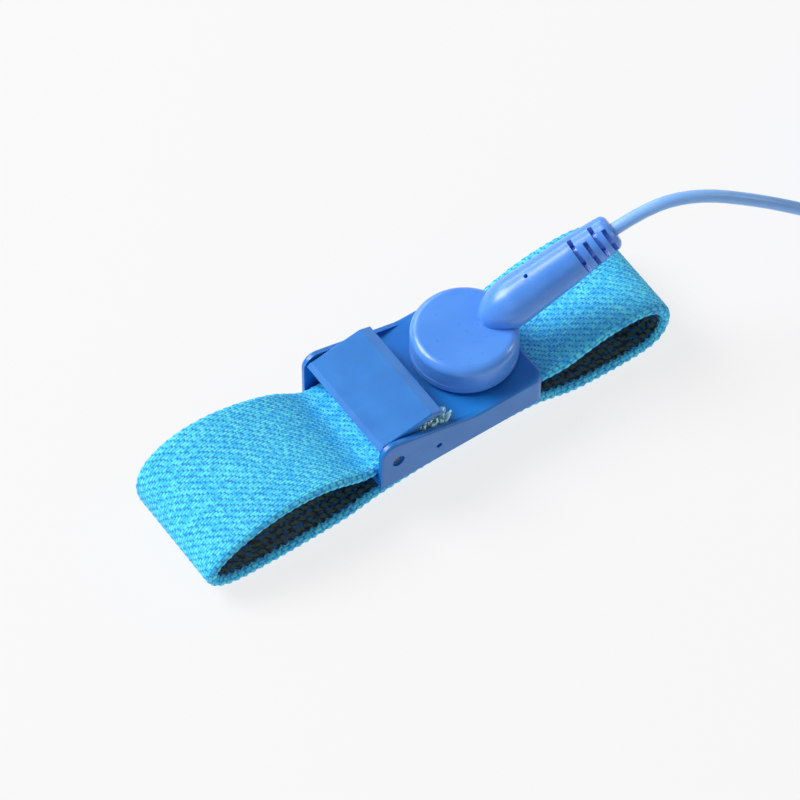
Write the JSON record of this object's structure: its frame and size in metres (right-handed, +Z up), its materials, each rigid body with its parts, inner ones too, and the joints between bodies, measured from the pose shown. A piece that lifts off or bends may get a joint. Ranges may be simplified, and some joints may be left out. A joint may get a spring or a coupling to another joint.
{
  "type": "esd wrist strap",
  "caption": "Elastic wrist strap with a cam clasp, a swivelling snap cap, a series resistor in its barrel, and a thin lead ending in a banana plug; it drains static charge from the wearer.",
  "frame": {"origin": "under the middle of the strap's loop, on the surface that it lies on", "axes": "+X along the strap towards the snap and the lead, +Y across the band, +Z up"},
  "size_m": [0.1834, 0.0372, 0.0323],
  "materials": {
    "knit_band": "knitted elastic, bright azure, dark conductive yarn inside",
    "clasp_plastic": "satin moulded nylon",
    "cap_plastic": "satin soft moulding",
    "pin_steel": "plain",
    "stainless": "brushed stainless",
    "nickel": "nickel plated",
    "resistor_coat": "dipped coating",
    "tinned_wire": "tinned copper",
    "cord_jacket": "thin flexible jacket",
    "tie_wrap": "soft hook strip",
    "grip_plastic": "satin moulding"
  },
  "bodies": {
    "root": {"wrist_band": "knit_band", "clasp_tray": "clasp_plastic", "lever_pin": "pin_steel", "contact_plate": "stainless", "stud_rivet": "stainless", "snap_stud": "nickel"},
    "lever": {"clasp_lever": "clasp_plastic"},
    "snap": {"snap_ring": "nickel"},
    "cap": {"cap_shell": "cap_plastic", "cap_base": "cap_plastic", "snap_socket": "nickel", "resistor_body": "resistor_coat", "resistor_leads": "tinned_wire", "wire_crimp": "tinned_wire", "strain_relief": "cap_plastic", "cord_lead": "cord_jacket", "cord_hank": "cord_jacket", "cord_tail": "cord_jacket", "cord_tie": "tie_wrap", "plug_grip": "grip_plastic", "plug_pin": "nickel", "plug_spring": "nickel"}
  },
  "joints": [
    {"name": "lever_hinge", "type": "hinge", "parent": "root", "child": "lever", "pos_m": [-0.009, 0, 0.0113], "axis": [0, -1, 0], "range_deg": [0, 70]},
    {"name": "cap_unsnap", "type": "slide", "parent": "root", "child": "snap", "axis": [0, 0, 1], "range_m": [0, 0.008]},
    {"name": "cap_spin", "type": "hinge", "parent": "snap", "child": "cap", "pos_m": [0.0121, 0, 0.0121], "axis": [0, 0, 1], "continuous": true}
  ]
}
